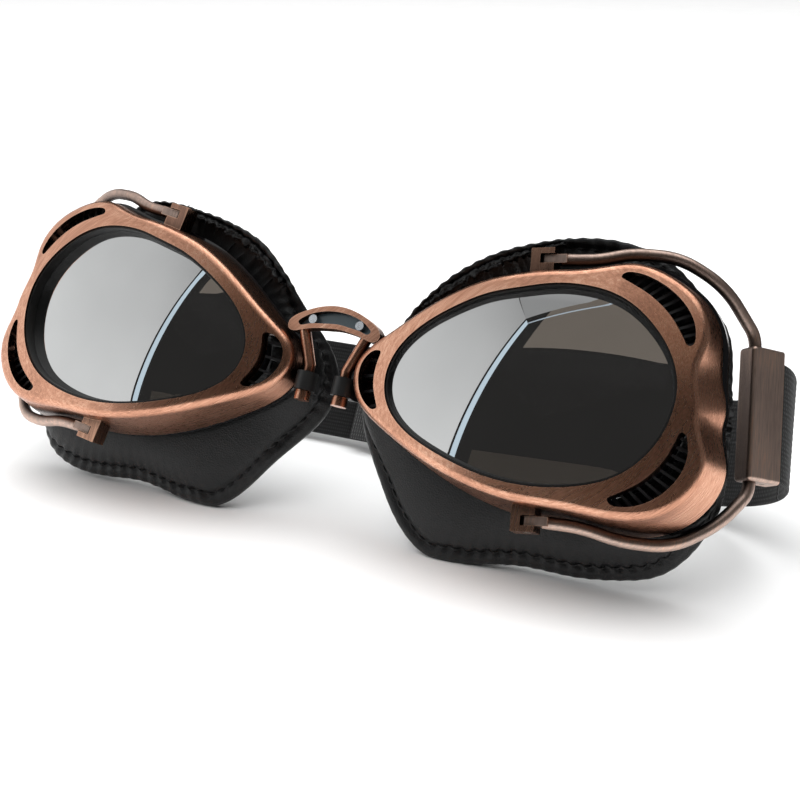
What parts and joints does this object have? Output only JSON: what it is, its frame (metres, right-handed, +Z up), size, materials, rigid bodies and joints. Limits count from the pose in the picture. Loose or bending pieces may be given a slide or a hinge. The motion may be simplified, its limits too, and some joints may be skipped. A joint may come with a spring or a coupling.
{
  "type": "steampunk goggles",
  "caption": "Retro riding goggles: vented copper eyecups on leather cushions, hinged to a crescent bridge, with wire strap bails and an adjustable elastic strap.",
  "frame": {"origin": "centre of the bounding box, on the table that the goggles stand on", "axes": "+X to the wearer's left, along the row of lenses; +Y back towards the wearer's head; +Z up"},
  "size_m": [0.2116, 0.0832, 0.0732],
  "materials": {
    "copper": "brushed antique copper plate",
    "dark_copper": "darkened copper plate, rubbed along its edges",
    "lens_glass": "smoke tinted with a light mirror coat",
    "black_gloss": "gloss black moulding",
    "black_plastic": "satin black moulding",
    "rubber": "matte black",
    "leather": "fine-grained black leather, stitched near a rolled edge",
    "webbing": "woven black elastic",
    "steel": "darkened pin ends",
    "chrome": "polished",
    "insert_gloss": "gloss grey-blue"
  },
  "bodies": {
    "bridge": {"bridge_frame": "copper", "bridge_nuts": "copper", "bridge_insert": "insert_gloss", "bridge_posts": "chrome", "strap_right": "webbing", "strap_left": "webbing"},
    "right_eyecup": {"right_front_frame": "copper", "right_lens": "lens_glass", "right_lens_gasket": "rubber", "right_lens_retainer": "black_plastic", "right_inner_body": "black_gloss", "right_vent_grilles": "black_plastic", "right_cushion_base": "black_plastic", "right_cushion": "leather", "right_nose_sleeve": "rubber", "right_top_lug": "copper", "right_bottom_lug": "copper", "right_bail_pins": "steel"},
    "right_bail": {"right_bail": "dark_copper", "right_strap_bracket": "dark_copper", "right_strap_pin": "steel"},
    "left_eyecup": {"left_front_frame": "copper", "left_lens": "lens_glass", "left_lens_gasket": "rubber", "left_lens_retainer": "black_plastic", "left_inner_body": "black_gloss", "left_vent_grilles": "black_plastic", "left_cushion_base": "black_plastic", "left_cushion": "leather", "left_nose_sleeve": "rubber", "left_top_lug": "copper", "left_bottom_lug": "copper", "left_bail_pins": "steel"},
    "left_bail": {"left_bail": "dark_copper", "left_strap_bracket": "dark_copper", "left_strap_pin": "steel"},
    "slider": {"strap_slider": "black_plastic", "slider_bar": "black_plastic"}
  },
  "joints": [
    {"name": "right_eyecup_hinge", "type": "hinge", "parent": "bridge", "child": "right_eyecup", "pos_m": [0.0051, -0.01998, 0.04188], "axis": [0, 0.5, 0.866], "range_deg": [-10, 14], "deforming": ["strap_right"]},
    {"name": "right_bail_swing", "type": "hinge", "parent": "right_eyecup", "child": "right_bail", "pos_m": [0.055, -0.0237, 0.04403], "axis": [0.1564, -0.4938, -0.8554], "range_deg": [0, 60]},
    {"name": "left_eyecup_hinge", "type": "hinge", "parent": "bridge", "child": "left_eyecup", "pos_m": [-0.0051, -0.01998, 0.04188], "axis": [0, -0.5, -0.866], "range_deg": [-10, 14], "deforming": ["strap_left"]},
    {"name": "left_bail_swing", "type": "hinge", "parent": "left_eyecup", "child": "left_bail", "pos_m": [-0.055, -0.0237, 0.04403], "axis": [0.1564, 0.4938, 0.8554], "range_deg": [0, 60]},
    {"name": "strap_adjust", "type": "slide", "parent": "bridge", "child": "slider", "axis": [1, 0, 0], "range_m": [-0.012, 0.012]}
  ]
}
